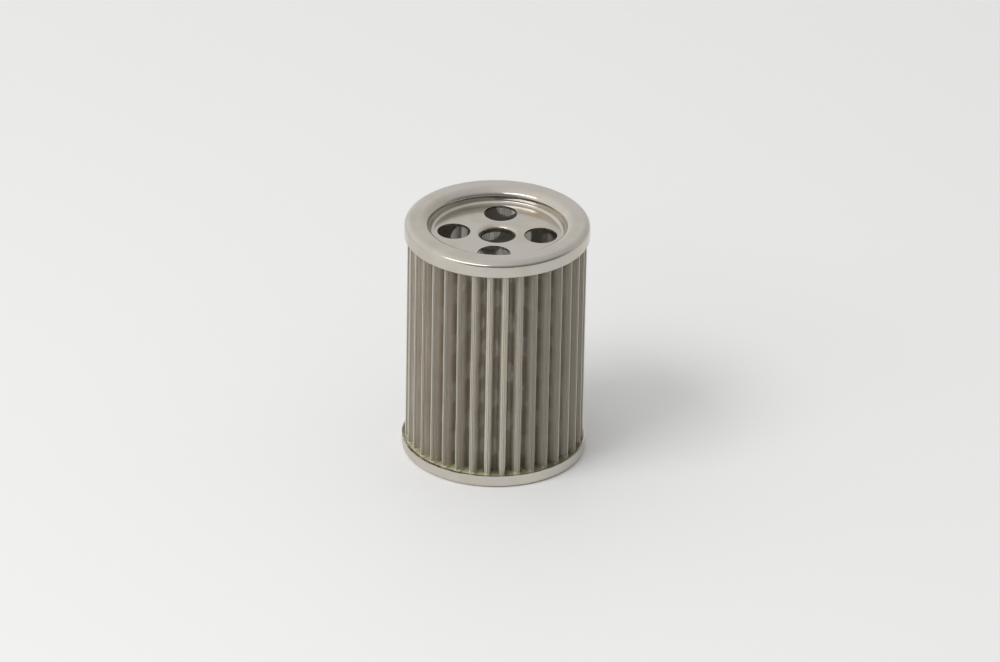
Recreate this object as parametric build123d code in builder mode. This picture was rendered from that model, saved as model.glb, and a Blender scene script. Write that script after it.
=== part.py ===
from build123d import *
from math import acos, atan2, cos, degrees, radians, sin
import os

# Overall sizes of the element, in millimetres. The origin is the middle of its underside.
overall_height = 82.0
cap_radius = 30.0
cap_sheet = 0.7

# Top cap: a pressed cover with an outer skirt, a flat land and a well in its middle. Its rim is what lies
# between the outside of the skirt and the wall of the well.
skirt_depth = 5.25
skirt_bend_radius = 2.2
rim_width = 8.2
well_depth = 4.8
well_lip_radius = 3.0
well_floor_bend_radius = 1.1

# Openings in the floor of the well: a ring of plain holes round one with its edge drawn down
flow_hole_radius = 5.35
flow_hole_wall_gap = 2.4
flow_hole_count = 4
flow_hole_angle = -3.9
collar_radius = 5.55
collar_bend_radius = 1.3
collar_depth = 2.4

# Bottom cap: a low closed pan with an upright lip
pan_height = 4.1
pan_bend_radius = 1.1

# Core tube: a sheet with staggered perforations, rolled so that it passes round the outside of the well
core_sheet = 0.8
core_clearance = 0.2
perforation_radius = 3.5
perforations_per_row = 13
perforation_step = 27.0
perforation_top_row_angle = -160.5
perforation_row_pitch = 9.0
perforation_top_margin = 0.4
perforation_foot_margin = 4.5

# Pleated sheet: woven wire mesh, folded into a ring round the core tube
pleat_count = 36
pleat_angle = 6.0
mesh_sheet = 0.4
mesh_core_clearance = 0.1
mesh_skirt_clearance = 0.25
mesh_floor_clearance = 0.2
crest_bend_radius = 0.75
valley_bend_radius = 0.875
bend_chords = 4

# Potting: adhesive that fills both caps round the ends of the sheet and the tube
lower_potting_recess = 0.5
upper_potting_recess = 0.5

# Heights and radii where the pieces meet
cap_inner_radius = cap_radius - cap_sheet
well_radius = cap_radius - rim_width
well_outer_radius = well_radius + cap_sheet
well_floor_height = overall_height - well_depth
flow_hole_pitch_radius = well_radius - flow_hole_wall_gap - flow_hole_radius
skirt_edge_height = overall_height - skirt_depth
core_inner_radius = well_outer_radius + core_clearance
core_outer_radius = core_inner_radius + core_sheet
core_bottom = cap_sheet
core_top = overall_height - well_lip_radius
mesh_bottom = pan_bend_radius + mesh_floor_clearance
mesh_top = overall_height - skirt_bend_radius

os.makedirs("parts", exist_ok=True)

# Top cap, drawn along its upper face from the edge of the skirt to the end of the collar
with BuildPart() as top_cap:
    with BuildSketch(Plane.XZ):
        with BuildLine():
            FilletPolyline(
                (cap_radius, skirt_edge_height),
                (cap_radius, overall_height),
                (well_radius, overall_height),
                (well_radius, well_floor_height),
                (collar_radius, well_floor_height),
                (collar_radius, well_floor_height - collar_depth),
                radius=[skirt_bend_radius, well_lip_radius, well_floor_bend_radius, collar_bend_radius],
            )
            offset(amount=cap_sheet, side=Side.LEFT)
        make_face()
    revolve(axis=Axis.Z)
    with BuildSketch(Plane.XY.offset(well_floor_height)):
        with PolarLocations(flow_hole_pitch_radius, flow_hole_count, start_angle=flow_hole_angle):
            Circle(flow_hole_radius)
    extrude(amount=-cap_sheet, mode=Mode.SUBTRACT)
top_cap.part.label = "top_cap"
export_step(top_cap.part, "parts/top_cap.step")

# Bottom cap, drawn along its outer face from the lip to the middle of the floor
with BuildPart() as bottom_cap:
    with BuildSketch(Plane.XZ):
        with BuildLine():
            FilletPolyline((cap_radius, pan_height), (cap_radius, 0), (0, 0), radius=pan_bend_radius)
            offset(amount=cap_sheet, side=Side.RIGHT)
        make_face()
    revolve(axis=Axis.Z)
bottom_cap.part.label = "bottom_cap"
export_step(bottom_cap.part, "parts/bottom_cap.step")

# Core tube, standing on the floor of the pan. The rows of perforations follow one another down from its
# top edge, every other one turned back by half a step. No row closes round the tube, which leaves a plain
# strip where the rolled sheet is joined.
top_row_height = core_top - perforation_top_margin - perforation_radius
foot_row_limit = core_bottom + perforation_foot_margin + perforation_radius
perforation_rows = 1 + int((top_row_height - foot_row_limit) / perforation_row_pitch)
perforation_planes = []
for row in range(perforation_rows):
    row_middle = Vector(0, 0, top_row_height - row * perforation_row_pitch)
    row_angle = perforation_top_row_angle - row % 2 * perforation_step / 2
    for column in range(perforations_per_row):
        angle = radians(row_angle + column * perforation_step)
        outward = Vector(cos(angle), sin(angle), 0)
        perforation_planes.append(Plane(origin=row_middle, x_dir=Vector(0, 0, 1), z_dir=outward))

with BuildPart() as core_tube:
    with BuildSketch(Plane.XY.offset(core_bottom)):
        Circle(core_outer_radius)
        Circle(core_inner_radius, mode=Mode.SUBTRACT)
    extrude(amount=core_top - core_bottom)
    with BuildSketch(*perforation_planes):
        Circle(perforation_radius)
    extrude(amount=core_outer_radius + core_sheet, mode=Mode.SUBTRACT)
core_tube.part.label = "core_tube"
export_step(core_tube.part, "parts/core_tube.step")


def polar(radius, angle):
    return Vector(radius * cos(radians(angle)), radius * sin(radians(angle)))


def bend(centre, radius, first_angle, last_angle):
    step = (last_angle - first_angle) / bend_chords
    return [centre + polar(radius, first_angle + chord * step) for chord in range(bend_chords + 1)]


# Pleated sheet. The middle of the sheet bends round a centre near the skirt at each crest and round
# a centre near the tube at each valley. The flat wall between them touches the two bends from
# opposite sides, so its contact angle follows from the distance between the centres.
half_pitch = 180 / pleat_count
crest_centre_radius = cap_inner_radius - mesh_skirt_clearance - mesh_sheet / 2 - crest_bend_radius
valley_centre_radius = core_outer_radius + mesh_core_clearance + mesh_sheet / 2 + valley_bend_radius
centre_step = polar(valley_centre_radius, half_pitch) - polar(crest_centre_radius, 0)
centre_step_angle = degrees(atan2(centre_step.Y, centre_step.X))
wall_lean = degrees(acos((crest_bend_radius + valley_bend_radius) / centre_step.length))
contact_angle = centre_step_angle - wall_lean

sheet_middle = []
for pleat in range(pleat_count):
    crest_angle = pleat_angle + 2 * half_pitch * pleat
    valley_angle = crest_angle + half_pitch
    crest_centre = polar(crest_centre_radius, crest_angle)
    valley_centre = polar(valley_centre_radius, valley_angle)
    crest_start = crest_angle - contact_angle
    crest_end = crest_angle + contact_angle
    valley_start = crest_end + 180
    valley_end = 2 * valley_angle - valley_start + 360
    sheet_middle += bend(crest_centre, crest_bend_radius, crest_start, crest_end)
    sheet_middle += bend(valley_centre, valley_bend_radius, valley_start, valley_end)

with BuildPart() as pleated_mesh:
    with BuildSketch(Plane.XY.offset(mesh_bottom)):
        with BuildLine():
            Polyline(*sheet_middle, close=True)
        make_face()
        offset(amount=mesh_sheet / 2, kind=Kind.INTERSECTION)
        with BuildLine():
            Polyline(*sheet_middle, close=True)
            offset(amount=-mesh_sheet / 2, kind=Kind.INTERSECTION, mode=Mode.REPLACE)
        make_face(mode=Mode.SUBTRACT)
    extrude(amount=mesh_top - mesh_bottom)
pleated_mesh.part.label = "pleated_mesh"
export_step(pleated_mesh.part, "parts/pleated_mesh.step")

# Lower potting, a ring of adhesive in the pan that grips the feet of the pleats
with BuildPart() as lower_potting:
    with BuildSketch(Plane.XZ):
        with BuildLine():
            FilletPolyline(
                (core_outer_radius, cap_sheet),
                (cap_inner_radius, cap_sheet),
                (cap_inner_radius, pan_height - lower_potting_recess),
                radius=pan_bend_radius - cap_sheet,
            )
            Polyline(
                (cap_inner_radius, pan_height - lower_potting_recess),
                (core_outer_radius, pan_height - lower_potting_recess),
                (core_outer_radius, cap_sheet),
            )
        make_face()
    revolve(axis=Axis.Z)
    add(pleated_mesh.part, mode=Mode.SUBTRACT)
lower_potting.part.label = "lower_potting"
export_step(lower_potting.part, "parts/lower_potting.step")

# Upper potting, a ring of adhesive that fills the channel between the skirt and the well
with BuildPart() as upper_potting:
    with BuildSketch(Plane.XZ):
        with BuildLine():
            FilletPolyline(
                (cap_inner_radius, skirt_edge_height + upper_potting_recess),
                (cap_inner_radius, overall_height - cap_sheet),
                (well_outer_radius, overall_height - cap_sheet),
                (well_outer_radius, skirt_edge_height + upper_potting_recess),
                radius=[skirt_bend_radius - cap_sheet, well_lip_radius - cap_sheet],
            )
            Line(
                (well_outer_radius, skirt_edge_height + upper_potting_recess),
                (cap_inner_radius, skirt_edge_height + upper_potting_recess),
            )
        make_face()
    revolve(axis=Axis.Z)
    add(core_tube.part, mode=Mode.SUBTRACT)
    add(pleated_mesh.part, mode=Mode.SUBTRACT)
upper_potting.part.label = "upper_potting"
export_step(upper_potting.part, "parts/upper_potting.step")
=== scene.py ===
import random
from math import acos, atan2, cos, pi, radians, sin

import bmesh
import bpy
from mathutils import Matrix, Vector


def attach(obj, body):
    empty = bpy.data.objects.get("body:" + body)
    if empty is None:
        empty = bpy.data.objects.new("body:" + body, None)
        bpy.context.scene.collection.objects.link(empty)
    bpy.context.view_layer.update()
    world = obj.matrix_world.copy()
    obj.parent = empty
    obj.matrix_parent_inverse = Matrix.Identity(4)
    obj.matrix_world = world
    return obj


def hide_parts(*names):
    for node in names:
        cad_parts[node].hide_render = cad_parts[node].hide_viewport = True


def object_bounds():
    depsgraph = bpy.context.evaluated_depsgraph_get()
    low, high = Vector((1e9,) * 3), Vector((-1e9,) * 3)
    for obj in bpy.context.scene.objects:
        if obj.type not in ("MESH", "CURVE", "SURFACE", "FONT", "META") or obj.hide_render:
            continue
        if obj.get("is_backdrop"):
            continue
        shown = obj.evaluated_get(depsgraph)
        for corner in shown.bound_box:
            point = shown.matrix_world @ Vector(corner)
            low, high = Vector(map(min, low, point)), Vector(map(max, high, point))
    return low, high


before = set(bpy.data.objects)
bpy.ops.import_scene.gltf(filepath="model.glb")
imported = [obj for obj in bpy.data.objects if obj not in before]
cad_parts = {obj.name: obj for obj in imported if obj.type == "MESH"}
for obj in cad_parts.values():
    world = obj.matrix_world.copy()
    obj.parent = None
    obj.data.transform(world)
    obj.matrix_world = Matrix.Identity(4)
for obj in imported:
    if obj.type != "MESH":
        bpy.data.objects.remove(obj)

cad_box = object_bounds()
bpy.ops.object.select_all(action="DESELECT")

# Bottom cap
# The closed pan that the element stands on: thin stainless sheet pressed to a low upright lip, with the
# fine rings of rolling and turning all over it. A brown line of painted shade runs along the top edge of
# the lip, in the gap under the adhesive.


class Wire:
    """One output of a shader node. Sums and products of it add Math nodes, and node() adds any other."""

    def __init__(self, socket):
        self.socket = socket

    def node(self, kind, settings=None, inputs=None, output=0):
        made = self.socket.id_data.nodes.new(kind)
        for name, value in (settings or {}).items():
            setattr(made, name, value)
        for name, value in (inputs or {}).items():
            if isinstance(value, Wire):
                self.socket.id_data.links.new(value.socket, made.inputs[name])
            else:
                made.inputs[name].default_value = value
        return Wire(made.outputs[output])

    def maths(self, operation, *values):
        return self.node("ShaderNodeMath", {"operation": operation}, dict(enumerate(values)))

    def __add__(self, other):
        return self.maths("ADD", self, other)

    def __radd__(self, other):
        return self.maths("ADD", other, self)

    def __sub__(self, other):
        return self.maths("SUBTRACT", self, other)

    def __rsub__(self, other):
        return self.maths("SUBTRACT", other, self)

    def __mul__(self, other):
        return self.maths("MULTIPLY", self, other)

    def __rmul__(self, other):
        return self.maths("MULTIPLY", other, self)

    def __truediv__(self, other):
        return self.maths("DIVIDE", self, other)

    def __abs__(self):
        return self.maths("ABSOLUTE", self)

    def __round__(self):
        return self.maths("ROUND", self)

    def whole(self):
        return self.maths("FLOOR", self)

    def fraction(self):
        return self.maths("FRACT", self)

    def root(self):
        return self.maths("SQRT", self)

    def most(self, other):
        return self.maths("MAXIMUM", self, other)

    def rise(self, low, high):
        """0 below low and 1 above high, with a soft step between them."""
        return self.node(
            "ShaderNodeMapRange",
            {"interpolation_type": "SMOOTHSTEP"},
            {"Value": self, "From Min": low, "From Max": high},
        )

    def noise(self, scale, detail=3.0, roughness=0.5):
        return self.node(
            "ShaderNodeTexNoise", None,
            {"Vector": self, "Scale": scale, "Detail": detail, "Roughness": roughness},
        )

    def noise_1d(self, scale, detail=3.0):
        return self.node(
            "ShaderNodeTexNoise", {"noise_dimensions": "1D"},
            {"W": self, "Scale": scale, "Detail": detail},
        )

    def stretched(self, scale):
        return self.node("ShaderNodeMapping", None, {"Vector": self, "Scale": scale})

    def part(self, number):
        """The x, y or z of a place, by its number."""
        return self.node("ShaderNodeSeparateXYZ", None, {"Vector": self}, number)

    def colours(self, first, second):
        """The first colour where this mask is 0 and the second where it is 1."""
        first = first if isinstance(first, Wire) else (*first, 1)
        second = second if isinstance(second, Wire) else (*second, 1)
        return self.node("ShaderNodeMix", {"data_type": "RGBA"}, {0: self, 6: first, 7: second}, 2)

    def bump(self, distance, strength):
        inputs = {"Height": self, "Distance": distance, "Strength": strength}
        return self.node("ShaderNodeBump", None, inputs)


def new_finish(name, **fixed):
    """A material with a Principled shader, its fixed numbers, and the piece's own coordinates."""
    material = bpy.data.materials.new(name)
    material.use_nodes = True
    shader = material.node_tree.nodes["Principled BSDF"]
    for socket_name, value in fixed.items():
        shader.inputs[socket_name.replace("_", " ")].default_value = value
    coordinates = material.node_tree.nodes.new("ShaderNodeTexCoord")
    return material, shader, Wire(coordinates.outputs["Object"])


def feed(shader, **wires):
    for socket_name, wire in wires.items():
        socket = shader.inputs[socket_name.replace("_", " ")]
        shader.id_data.links.new(wire.socket, socket)


def distance(first, second):
    """How far a place is from a middle, given how far it is along each of two axes."""
    return (first * first + second * second).root()


def pressed_steel(name, sheet_colour, tint_colour, tint_low, tint_high, dullness):
    """Bright rolled sheet: rings round the axis, soft mottling, straw tint and hairline scratches."""
    material, shader, place = new_finish(name, Metallic=1.0, Anisotropic=0.35)
    radius = distance(place.part(0), place.part(1))
    rings = (radius + place.part(2) * 1.3).noise_1d(5200.0, 4.0)
    mottling = place.noise(95.0, 4.0, 0.55)
    smears = place.stretched((1.0, 1.0, 2.0)).noise(38.0, 3.0)
    scratches_along = place.stretched((35.0, 900.0, 900.0)).noise(1.6, 1.0).rise(0.70, 0.78)
    scratches_across = place.stretched((800.0, 60.0, 500.0)).noise(1.5, 1.0).rise(0.71, 0.78)
    scratches = scratches_along.most(scratches_across)
    darker = tuple(0.88 * level for level in sheet_colour)
    cooler = (0.95 * sheet_colour[0], 0.965 * sheet_colour[1], 1.02 * sheet_colour[2])
    colour = mottling.rise(0.3, 0.7).colours(darker, sheet_colour)
    colour = (place.noise(62.0, 2.0).rise(0.42, 0.62) * 0.8).colours(colour, cooler)
    tint = smears.rise(tint_low, tint_high) * mottling.rise(0.35, 0.65)
    colour = tint.colours(colour, tint_colour)
    feed(
        shader,
        Roughness=dullness + rings * 0.04 + smears * 0.08 + scratches * 0.06,
        Normal=(rings * 0.3 + scratches * 0.35).bump(distance=0.000012, strength=0.5),
    )
    return material, shader, place, colour


# Where the painted shade along the top edge of the lip starts, ends and fades out
gap_shade_foot = 0.0037
gap_shade_top = 0.0040
gap_shade_right_end = 0.004
gap_shade_full_left = -0.014
bottom_material, bottom_shader, bottom_place, bottom_colour = pressed_steel(
    "pressed_pan_steel", sheet_colour=(0.69, 0.65, 0.575), tint_colour=(0.62, 0.54, 0.37),
    tint_low=0.62, tint_high=0.80, dullness=0.32,
)
# Painted shade: a broken brown line along the top edge of the lip, under the adhesive, full on the left
# and gone on the right
gap_shade = bottom_place.part(2).rise(gap_shade_foot, gap_shade_top) * bottom_place.noise(260.0).rise(0.35, 0.60)
gap_shade = gap_shade * bottom_place.part(0).rise(gap_shade_right_end, gap_shade_full_left) * 0.85
feed(bottom_shader, Base_Color=gap_shade.colours(bottom_colour, (0.16, 0.12, 0.06)))
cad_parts["bottom_cap"].material_slots[0].material = bottom_material

# Core tube
# A rolled stainless tube with staggered round perforations, which holds the folds off the flow. It is left
# as it comes from the mill, so it is duller than the top cap, and it stands on the floor of the pan.
core_material, core_shader, core_place, core_colour = pressed_steel(
    "perforated_core_steel", sheet_colour=(0.58, 0.545, 0.49), tint_colour=(0.46, 0.40, 0.28),
    tint_low=0.55, tint_high=0.75, dullness=0.22,
)
feed(core_shader, Base_Color=core_colour)
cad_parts["core_tube"].material_slots[0].material = core_material

# Pleated mesh
# One strip of woven stainless wire, folded 36 times into a ring round the core tube. It is modelled as one
# fold, from wall to crest to wall to valley, which is copied round the axis and welded into the ring.
pleat_count = 36
first_pleat = radians(6.0)
pleat_step = 2 * pi / pleat_count
sheet = 0.0004
crest_centre_radius = 0.0281
valley_centre_radius = 0.024675
crest_bend_radius = 0.00075
valley_bend_radius = 0.000875
mesh_bottom = 0.0013
mesh_top = 0.0798
wall_parts = 5
bend_steps = 8
foot_cuts = (0.0027, 0.0038, 0.0048, 0.0060, 0.0078, 0.0105)
cut_step = 0.0065
same_place = 1e-6
weld_distance = 0.00012
wire_pitch = 0.0005

# Each crest is dented or bulged a little at two heights, and its foot is pinched where it is bonded
lower_kink_heights = (0.014, 0.036)
upper_kink_heights = (0.044, 0.066)
kink_height = 0.0035
kink_reach = 0.012
deepest_dent = 0.00005
highest_bulge = 0.00003
widest_sway = 0.00010
pinch_height = 0.0035
pinch_reach = 0.0045
pinched_width = 0.62


def polar(centre, length, angle):
    return centre + Vector((length * cos(angle), length * sin(angle), 0))


def pick(test):
    """Selects, in edit mode, exactly the vertices whose place passes the test."""
    shape = bmesh.from_edit_mesh(bpy.context.edit_object.data)
    for element in (*shape.faces, *shape.edges, *shape.verts):
        element.select_set(False)
    for vertex in shape.verts:
        if test(vertex.co):
            vertex.select_set(True)
    shape.select_flush_mode()
    bmesh.update_edit_mesh(bpy.context.edit_object.data)


def only(piece):
    bpy.ops.object.select_all(action="DESELECT")
    piece.select_set(True)
    bpy.context.view_layer.objects.active = piece


def copy_of(piece):
    only(piece)
    bpy.ops.object.duplicate()
    copy = bpy.context.object
    copy.data = copy.data.copy() if copy.data.users > 1 else copy.data
    return copy


def joined(pieces, name):
    only(pieces[0])
    for piece in pieces:
        piece.select_set(True)
    bpy.ops.object.join()
    bpy.context.object.name = name
    return bpy.context.object


axis_point = Vector((0, 0, 0))
crest_centre = polar(axis_point, crest_centre_radius, 0)
valley_centre = polar(axis_point, valley_centre_radius, pleat_step / 2)
centre_step = valley_centre - crest_centre
wall_lean = acos((crest_bend_radius + valley_bend_radius) / centre_step.length)
contact_angle = atan2(centre_step.y, centre_step.x) - wall_lean
crest_end = polar(crest_centre, crest_bend_radius, contact_angle)
valley_start = polar(valley_centre, valley_bend_radius, contact_angle + pi)
crest_start = Vector((crest_end.x, -crest_end.y, 0))
wall_start = Vector((valley_start.x, -valley_start.y, 0))
wall = crest_start - wall_start
mesh_height = mesh_top - mesh_bottom

# The first wall, stood upright and cut into strips
bpy.ops.mesh.primitive_plane_add(size=1.0)
pleat = bpy.context.object
pleat.name = "folded_mesh"
bpy.ops.object.mode_set(mode="EDIT")
bpy.ops.mesh.select_all(action="SELECT")
bpy.ops.transform.resize(value=(wall.length, mesh_height, 1))
bpy.ops.object.mode_set(mode="OBJECT")
pleat.rotation_euler = (pi / 2, 0, atan2(wall.y, wall.x))
pleat.location = (wall_start + crest_start) / 2 + Vector((0, 0, (mesh_bottom + mesh_top) / 2))
bpy.ops.object.transform_apply(location=True, rotation=True, scale=True)
bpy.ops.object.mode_set(mode="EDIT")
bpy.ops.mesh.select_mode(type="VERT")
for part in range(1, wall_parts):
    bpy.ops.mesh.select_all(action="SELECT")
    bpy.ops.mesh.bisect(plane_co=wall_start + wall * (part / wall_parts), plane_no=wall.normalized())

# The crest, the second wall and the valley follow from its edge
pick(lambda place: (place.xy - crest_start.xy).length < same_place)
bpy.ops.mesh.spin(steps=bend_steps, angle=-2 * contact_angle, center=crest_centre, axis=(0, 0, 1))
for part in range(wall_parts):
    bpy.ops.mesh.extrude_region_move(
        TRANSFORM_OT_translate={"value": (valley_start - crest_end) / wall_parts}
    )
valley_turn = 2 * (contact_angle - pleat_step / 2)
bpy.ops.mesh.spin(steps=bend_steps, angle=valley_turn, center=valley_centre, axis=(0, 0, 1))
cut_heights = [*foot_cuts]
while cut_heights[-1] + cut_step < mesh_top:
    cut_heights.append(cut_heights[-1] + cut_step)
for cut_height in cut_heights:
    bpy.ops.mesh.select_all(action="SELECT")
    bpy.ops.mesh.bisect(plane_co=(0, 0, cut_height), plane_no=(0, 0, 1))
bpy.ops.mesh.select_all(action="SELECT")
bpy.ops.mesh.remove_doubles(threshold=same_place)
bpy.ops.object.mode_set(mode="OBJECT")


def plan_place(vertex):
    return round(vertex.co.x, 6), round(vertex.co.y, 6)


# The map of the weave follows the sheet: its length along the fold one way, and its height the other way
ends = [vertex for vertex in pleat.data.vertices if abs(vertex.co.z - mesh_bottom) < same_place]
here = min(ends, key=lambda vertex: (vertex.co.xy - wall_start.xy).length)
ends.remove(here)
fold_length = 0.0
walked = {plan_place(here): fold_length}
while ends:
    following = min(ends, key=lambda vertex: (vertex.co - here.co).length)
    fold_length += (following.co - here.co).length
    walked[plan_place(following)] = fold_length
    ends.remove(following)
    here = following
weave_map = pleat.data.uv_layers.active or pleat.data.uv_layers.new(name="weave")
for corner in pleat.data.loops:
    vertex = pleat.data.vertices[corner.vertex_index]
    weave_map.data[corner.index].uv = (walked[plan_place(vertex)], vertex.co.z)

shaping = random.Random(11)
soft_edit = {
    "use_proportional_edit": True,
    "use_proportional_connected": True,
    "proportional_edit_falloff": "SMOOTH",
}
pleats = []
for number in range(pleat_count):
    copy = copy_of(pleat)
    for corner in copy.data.uv_layers.active.data:
        corner.uv.x += number * fold_length
    bpy.ops.object.mode_set(mode="EDIT")
    for height in (shaping.uniform(*lower_kink_heights), shaping.uniform(*upper_kink_heights)):
        pick(lambda place: place.x > crest_centre.x and abs(place.z - height) < kink_height)
        outwards = shaping.uniform(-deepest_dent, highest_bulge)
        sideways = shaping.uniform(-widest_sway, widest_sway)
        bpy.ops.transform.translate(
            value=(outwards, sideways, 0), proportional_size=kink_reach, **soft_edit
        )
    pick(lambda place: place.x > crest_centre.x and place.z < pinch_height)
    bpy.ops.transform.resize(
        value=(1, pinched_width, 1), center_override=crest_centre,
        proportional_size=pinch_reach, **soft_edit,
    )
    bpy.ops.object.mode_set(mode="OBJECT")
    copy.rotation_euler.z = first_pleat + number * pleat_step
    bpy.ops.object.transform_apply(location=False, rotation=True, scale=False)
    pleats.append(copy)
bpy.data.objects.remove(pleat)
folded_mesh = joined(pleats, "folded_mesh")
bpy.ops.object.mode_set(mode="EDIT")
bpy.ops.mesh.select_all(action="SELECT")
bpy.ops.mesh.remove_doubles(threshold=weld_distance)
bpy.ops.mesh.normals_make_consistent(inside=False)
bpy.ops.object.mode_set(mode="OBJECT")
thickness = folded_mesh.modifiers.new("sheet", "SOLIDIFY")
thickness.thickness = sheet
thickness.offset = 0.0
bpy.ops.object.modifier_apply(modifier="sheet")
bpy.ops.object.shade_smooth_by_angle(angle=radians(50))

# The woven wires: upright and level ones that pass over and under each other, with open squares between
weave_material, weave_shader, weave_place = new_finish("woven_wire", Metallic=0.45)
x = weave_place.part(0)
y = weave_place.part(1)
z = weave_place.part(2)
radius = distance(x, y)
weave_uv = weave_place.node("ShaderNodeUVMap")
pitch_along_fold = fold_length / round(fold_length / wire_pitch)
across = weave_uv.part(0) / pitch_along_fold
along = weave_uv.part(1) / wire_pitch
open_share = 0.64
wire_edge = 1.0 - open_share
edge_blur = 0.06
upright = abs(across.fraction() - 0.5) * 2.0
level = abs(along.fraction() - 0.5) * 2.0
upright_wire = upright.rise(wire_edge + edge_blur, wire_edge - edge_blur)
level_wire = level.rise(wire_edge + edge_blur, wire_edge - edge_blur)
solid = upright_wire.most(level_wire)
turn = (across.whole() + along) * pi
over = turn.maths("SINE", turn)
upright_round = (1.0 - (upright * upright) / 0.25).most(0.0)
level_round = (1.0 - (level * level) / 0.25).most(0.0)
weave_height = (upright_round * (0.65 + over * 0.35)).most(level_round * (0.65 - over * 0.35))

# Painted light: the wires are lighter in front of each perforation of the core tube, row by row up the
# tube
first_row_height = 0.0121
row_pitch = 0.009
perforation_step = radians(27)
first_perforation = radians(-174)
core_middle_radius = 0.0231
perforation_edge = (0.0038, 0.0031)
inner_half = (0.0274, 0.0262)
lowest_row_edge = (0.0084, 0.0086)
row = round((z - first_row_height) / row_pitch)
half_turn = (row * 0.5).fraction() * perforation_step
around = y.maths("ARCTAN2", y, x)
column = (around - first_perforation - half_turn) / perforation_step
sideways = (column - round(column)) * (perforation_step * core_middle_radius)
upwards = z - (row * row_pitch + first_row_height)
hole_light_mask = distance(sideways, upwards).rise(*perforation_edge)
hole_light_mask = hole_light_mask * radius.rise(*inner_half) * z.rise(*lowest_row_edge)

# Painted shade: the valleys are darker than the walls, the walls darken from the middle to the right and
# the crests darken to both sides. A painted highlight runs down each fold where the sheet turns out of
# sight
valley_to_wall = (0.0250, 0.0274)
wall_to_crest = (0.0281, 0.0287)
fold_zone = (0.0282, 0.0285)
shade_to_right = (0.004, 0.022)
# Painted shade: the walls are lit in the middle and darker towards the right
wall_lit_to_shaded = x.rise(*shade_to_right).colours((0.88, 0.80, 0.685), (0.64, 0.585, 0.495))
# Painted shade: the valleys are darker than the walls
weave_colour = radius.rise(*valley_to_wall).colours((0.50, 0.452, 0.38), wall_lit_to_shaded)
# Painted light: the wires in front of the perforations are made lighter
weave_colour = (hole_light_mask * 0.55).colours(weave_colour, (0.82, 0.79, 0.72))
dirt = weave_place.stretched((1.0, 1.0, 0.35)).noise(170.0, 4.0, 0.6)
weave_colour = (dirt.rise(0.35, 0.75) * 0.35).colours(weave_colour, (0.50, 0.44, 0.34))
# Painted shade: the crests darken towards both sides, and the painted highlight on them with it
crest_side_shade = (abs(x) / radius).rise(0.12, 0.42)
crest_colour = crest_side_shade.colours((0.72, 0.665, 0.57), (0.38, 0.35, 0.295))
weave_colour = radius.rise(*wall_to_crest).colours(weave_colour, crest_colour)
ribs = across.noise_1d(0.9, 2.0).rise(0.35, 0.65)
weave_colour = (ribs * 0.22).colours(weave_colour, (0.30, 0.28, 0.235))
turned_away = weave_place.node("ShaderNodeLayerWeight", None, {"Blend": 0.5}, 1)
# Painted highlight: a light line down each fold where the sheet turns out of sight, also made solid
painted_fold_highlight = turned_away.rise(0.40, 0.56) * radius.rise(*fold_zone)
weave_colour = (painted_fold_highlight * (1.0 - crest_side_shade * 0.45)).colours(weave_colour, (0.90, 0.87, 0.79))
feed(
    weave_shader,
    Base_Color=weave_colour,
    Roughness=0.42 + dirt * 0.22,
    Alpha=solid.most(painted_fold_highlight),
    Normal=weave_height.bump(distance=0.00008, strength=0.8),
)
folded_mesh.data.materials.clear()
folded_mesh.data.materials.append(weave_material)
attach(folded_mesh, "root")
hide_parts("pleated_mesh")

# Adhesive
# Cured khaki adhesive bonds the folds into both caps. The two rings are the solids themselves, and round
# the foot of each fold it has crept up the sheet into a small mound.
adhesive_material, adhesive_shader, adhesive_place = new_finish(
    "cured_adhesive", Coat_Weight=0.35, Coat_Roughness=0.25, Subsurface_Weight=0.15,
    Subsurface_Radius=(0.0012, 0.0011, 0.0006),
)
clouding = adhesive_place.noise(420.0, 3.0)
grime = adhesive_place.noise(140.0, 4.0)
adhesive_colour = clouding.colours((0.38, 0.365, 0.225), (0.54, 0.52, 0.35))
# Grime in patches, and painted shade that darkens the adhesive towards the right
grime_and_shade = (grime + adhesive_place.part(0) * 9.0).rise(0.45, 0.80)
adhesive_colour = grime_and_shade.colours(adhesive_colour, (0.17, 0.165, 0.095))
feed(
    adhesive_shader,
    Base_Color=adhesive_colour,
    Roughness=0.38 + clouding * 0.2,
    Normal=(clouding + grime).bump(distance=0.00012, strength=0.5),
)
for name in ("lower_potting", "upper_potting"):
    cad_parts[name].material_slots[0].material = adhesive_material

ring_top = 0.0036
mound_width = 0.0034
mound_height = 0.0012
mound_sink = 0.0001
mound_inner = 0.0238
mound_outer = 0.02915
mound_rounding = 0.0007
taper_centre = (0.02875, 0, 0)
taper = (0.93, 0.50, 1)
bpy.ops.mesh.primitive_cube_add(size=1.0)
mound = bpy.context.object
bpy.ops.object.mode_set(mode="EDIT")
bpy.ops.mesh.select_all(action="SELECT")
bpy.ops.transform.resize(value=(mound_outer - mound_inner, mound_width, 2 * mound_height))
bpy.ops.transform.translate(value=((mound_inner + mound_outer) / 2, 0, ring_top - mound_sink))
pick(lambda place: place.z > ring_top)
bpy.ops.transform.resize(value=taper, center_override=taper_centre)
bpy.ops.object.mode_set(mode="OBJECT")
rounding = mound.modifiers.new("rounding", "BEVEL")
rounding.width = mound_rounding
rounding.segments = 4
bpy.ops.object.modifier_apply(modifier="rounding")
mounds = []
for number in range(pleat_count):
    copy = copy_of(mound)
    copy.scale = (1, shaping.uniform(0.85, 1.15), 1)
    copy.rotation_euler.z = first_pleat + number * pleat_step
    bpy.ops.object.transform_apply(location=False, rotation=True, scale=True)
    mounds.append(copy)
bpy.data.objects.remove(mound)
adhesive_mounds = joined(mounds, "adhesive_mounds")
bpy.ops.object.shade_smooth_by_angle(angle=radians(60))
adhesive_mounds.data.materials.clear()
adhesive_mounds.data.materials.append(adhesive_material)
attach(adhesive_mounds, "root")

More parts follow.
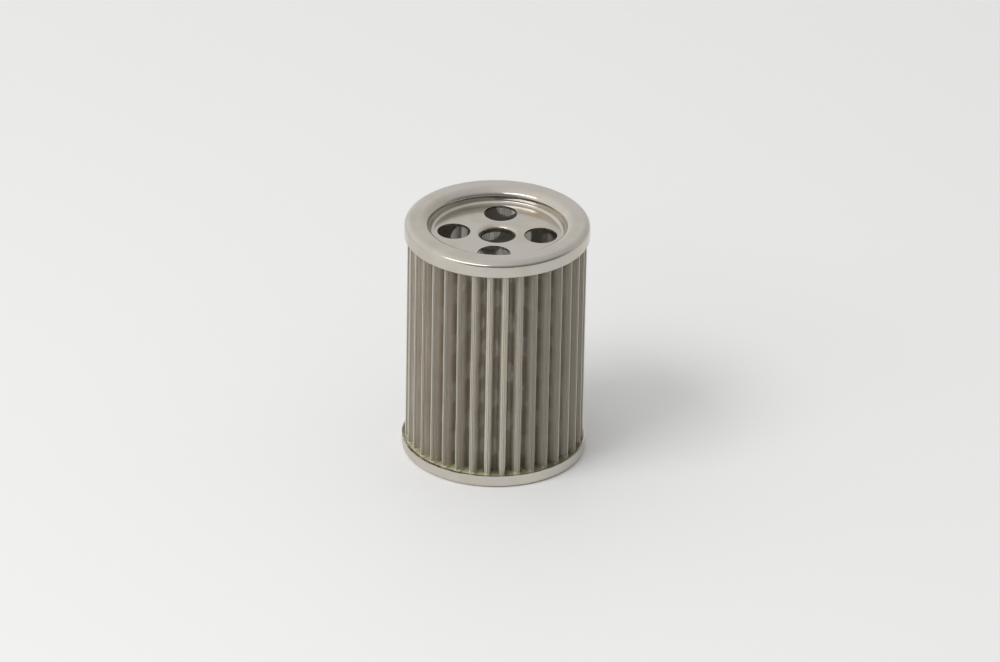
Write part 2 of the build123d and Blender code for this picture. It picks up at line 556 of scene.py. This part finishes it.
# Top cap
# The ported cover: stainless sheet pressed to a skirt, a flat land and a well with four plain holes round
# one that is drawn down. Handling and heat have left faint straw tints on the bright sheet.
patch_middle = 0.013
patch_edge = 0.0055
patch_core = 0.0015
above_well_floor = 0.0779
well_floor_limit = 0.0776
top_material, top_shader, top_place, top_colour = pressed_steel(
    "pressed_cap_steel", sheet_colour=(0.605, 0.562, 0.497), tint_colour=(0.62, 0.53, 0.36),
    tint_low=0.58, tint_high=0.76, dullness=0.09,
)
from_patch = distance(top_place.part(0) - patch_middle, top_place.part(1) - patch_middle)
patch = from_patch.rise(patch_edge, patch_core) * top_place.noise(300.0).rise(0.35, 0.60)
patch = patch * top_place.part(2).rise(above_well_floor, well_floor_limit)
feed(top_shader, Base_Color=(patch * 0.8).colours(top_colour, (0.60, 0.50, 0.32)))
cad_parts["top_cap"].material_slots[0].material = top_material

# Floor, light and camera
# A plain pale floor, a soft key lamp from the left whose glare is kept off the steel, a low wide card of
# light that shows in it, and a pale room that is darker low down, behind the camera and to its right.
floor_size = 12.0
floor_clearance = 0.00002
bpy.ops.mesh.primitive_plane_add(size=floor_size)
floor = bpy.context.object
floor.name = "studio_floor"
bpy.ops.object.mode_set(mode="EDIT")
bpy.ops.transform.translate(value=(0, 0, -floor_clearance))
bpy.ops.object.mode_set(mode="OBJECT")
floor_material, floor_shader, floor_place = new_finish("pale_floor", Roughness=0.6)
paper = floor_place.noise(3.0, 2.0)
feed(floor_shader, Base_Color=paper.colours((0.757, 0.757, 0.755), (0.770, 0.770, 0.767)))
floor.data.materials.append(floor_material)
floor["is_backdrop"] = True


def soft_lamp(name, place, width, depth, power, mirrored):
    """An area lamp that faces the middle of the element, and shows in its steel or doesn't."""
    bpy.ops.object.light_add(type="AREA", location=place)
    lamp = bpy.context.object
    lamp.name = name
    lamp.data.shape = "RECTANGLE"
    lamp.data.size = width
    lamp.data.size_y = depth
    lamp.data.energy = power
    lamp.visible_glossy = mirrored
    middle = Vector((0, 0, 0.045))
    lamp.rotation_euler = (middle - Vector(place)).to_track_quat("-Z", "Y").to_euler()


soft_lamp("key_lamp", (-0.98, -0.65, 1.61), width=0.91, depth=0.65, power=14.8, mirrored=False)
soft_lamp("window_card", (-0.92, -1.12, 0.98), width=1.6, depth=0.30, power=4.1, mirrored=True)

world = bpy.data.worlds.new("studio_room")
bpy.context.scene.world = world
world.use_nodes = True
background = world.node_tree.nodes["Background"]
direction = Wire(world.node_tree.nodes.new("ShaderNodeTexCoord").outputs["Generated"])
x = direction.part(0)
dark_side = (x * 0.45 - direction.part(1) * 0.9).rise(0.1, 0.8)
lit = 1.0 - (1.0 - direction.part(2).rise(0.15, 0.75)) * dark_side
open_side = x.rise(0.9, -0.9).colours((0.60, 0.60, 0.60), (0.96, 0.96, 0.95))
feed(background, Color=lit.colours((0.22, 0.215, 0.21), open_side))

camera_distance_back = 2.287196
camera_height = 1.268480
camera_pitch = 0.492390
camera_roll = -0.018049
camera_turn = -0.000631
bpy.ops.object.camera_add()
camera = bpy.context.object
camera.name = "studio_camera"
camera.data.sensor_width = 36.0
camera.data.lens = 288.0
camera.matrix_world = (
    Matrix.Translation((0, -camera_distance_back, camera_height))
    @ Matrix.Rotation(camera_turn, 4, "Z")
    @ Matrix.Rotation(pi / 2 - camera_pitch, 4, "X")
    @ Matrix.Rotation(-camera_roll, 4, "Z")
)
bpy.context.scene.camera = camera
bpy.context.scene.view_settings.view_transform = "Standard"

shown_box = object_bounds()
{"cad": [list(corner) for corner in cad_box], "shown": [list(corner) for corner in shown_box]}
